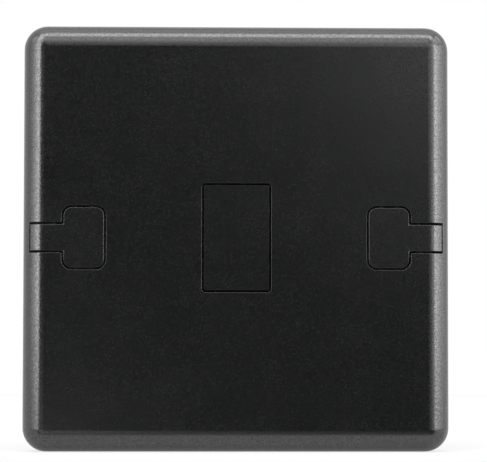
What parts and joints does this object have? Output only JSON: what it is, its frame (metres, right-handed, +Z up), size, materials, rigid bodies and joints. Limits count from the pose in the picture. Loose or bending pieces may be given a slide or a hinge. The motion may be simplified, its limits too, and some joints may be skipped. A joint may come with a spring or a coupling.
{
  "type": "blank wall plate",
  "caption": "Square satin-black blank wall plate with rounded edges, a flush centre insert, and flush T-shaped caps that pull off to show the screws fixing it to a flush box.",
  "frame": {"origin": "middle of the plate on its rear plane, where it meets the wall", "axes": "+X to the right as seen from the front, +Y into the wall, +Z up; the front faces -Y"},
  "size_m": [0.086, 0.0299, 0.086],
  "materials": {
    "plate_plastic": "satin black, finely sparked",
    "insert_plastic": "satin black, finely sparked",
    "cap_plastic": "satin black, finely sparked",
    "screw_steel": "bright zinc plate"
  },
  "bodies": {
    "plate": {"front_plate": "plate_plastic", "blank_insert": "insert_plastic", "fixing_screws": "screw_steel"},
    "left_cap": {"left_screw_cap": "cap_plastic"},
    "right_cap": {"right_screw_cap": "cap_plastic"}
  },
  "joints": [
    {"name": "left_cap_pull", "type": "slide", "parent": "plate", "child": "left_cap", "axis": [0, -1, 0], "range_m": [0, 0.012]},
    {"name": "right_cap_pull", "type": "slide", "parent": "plate", "child": "right_cap", "axis": [0, -1, 0], "range_m": [0, 0.012]}
  ]
}
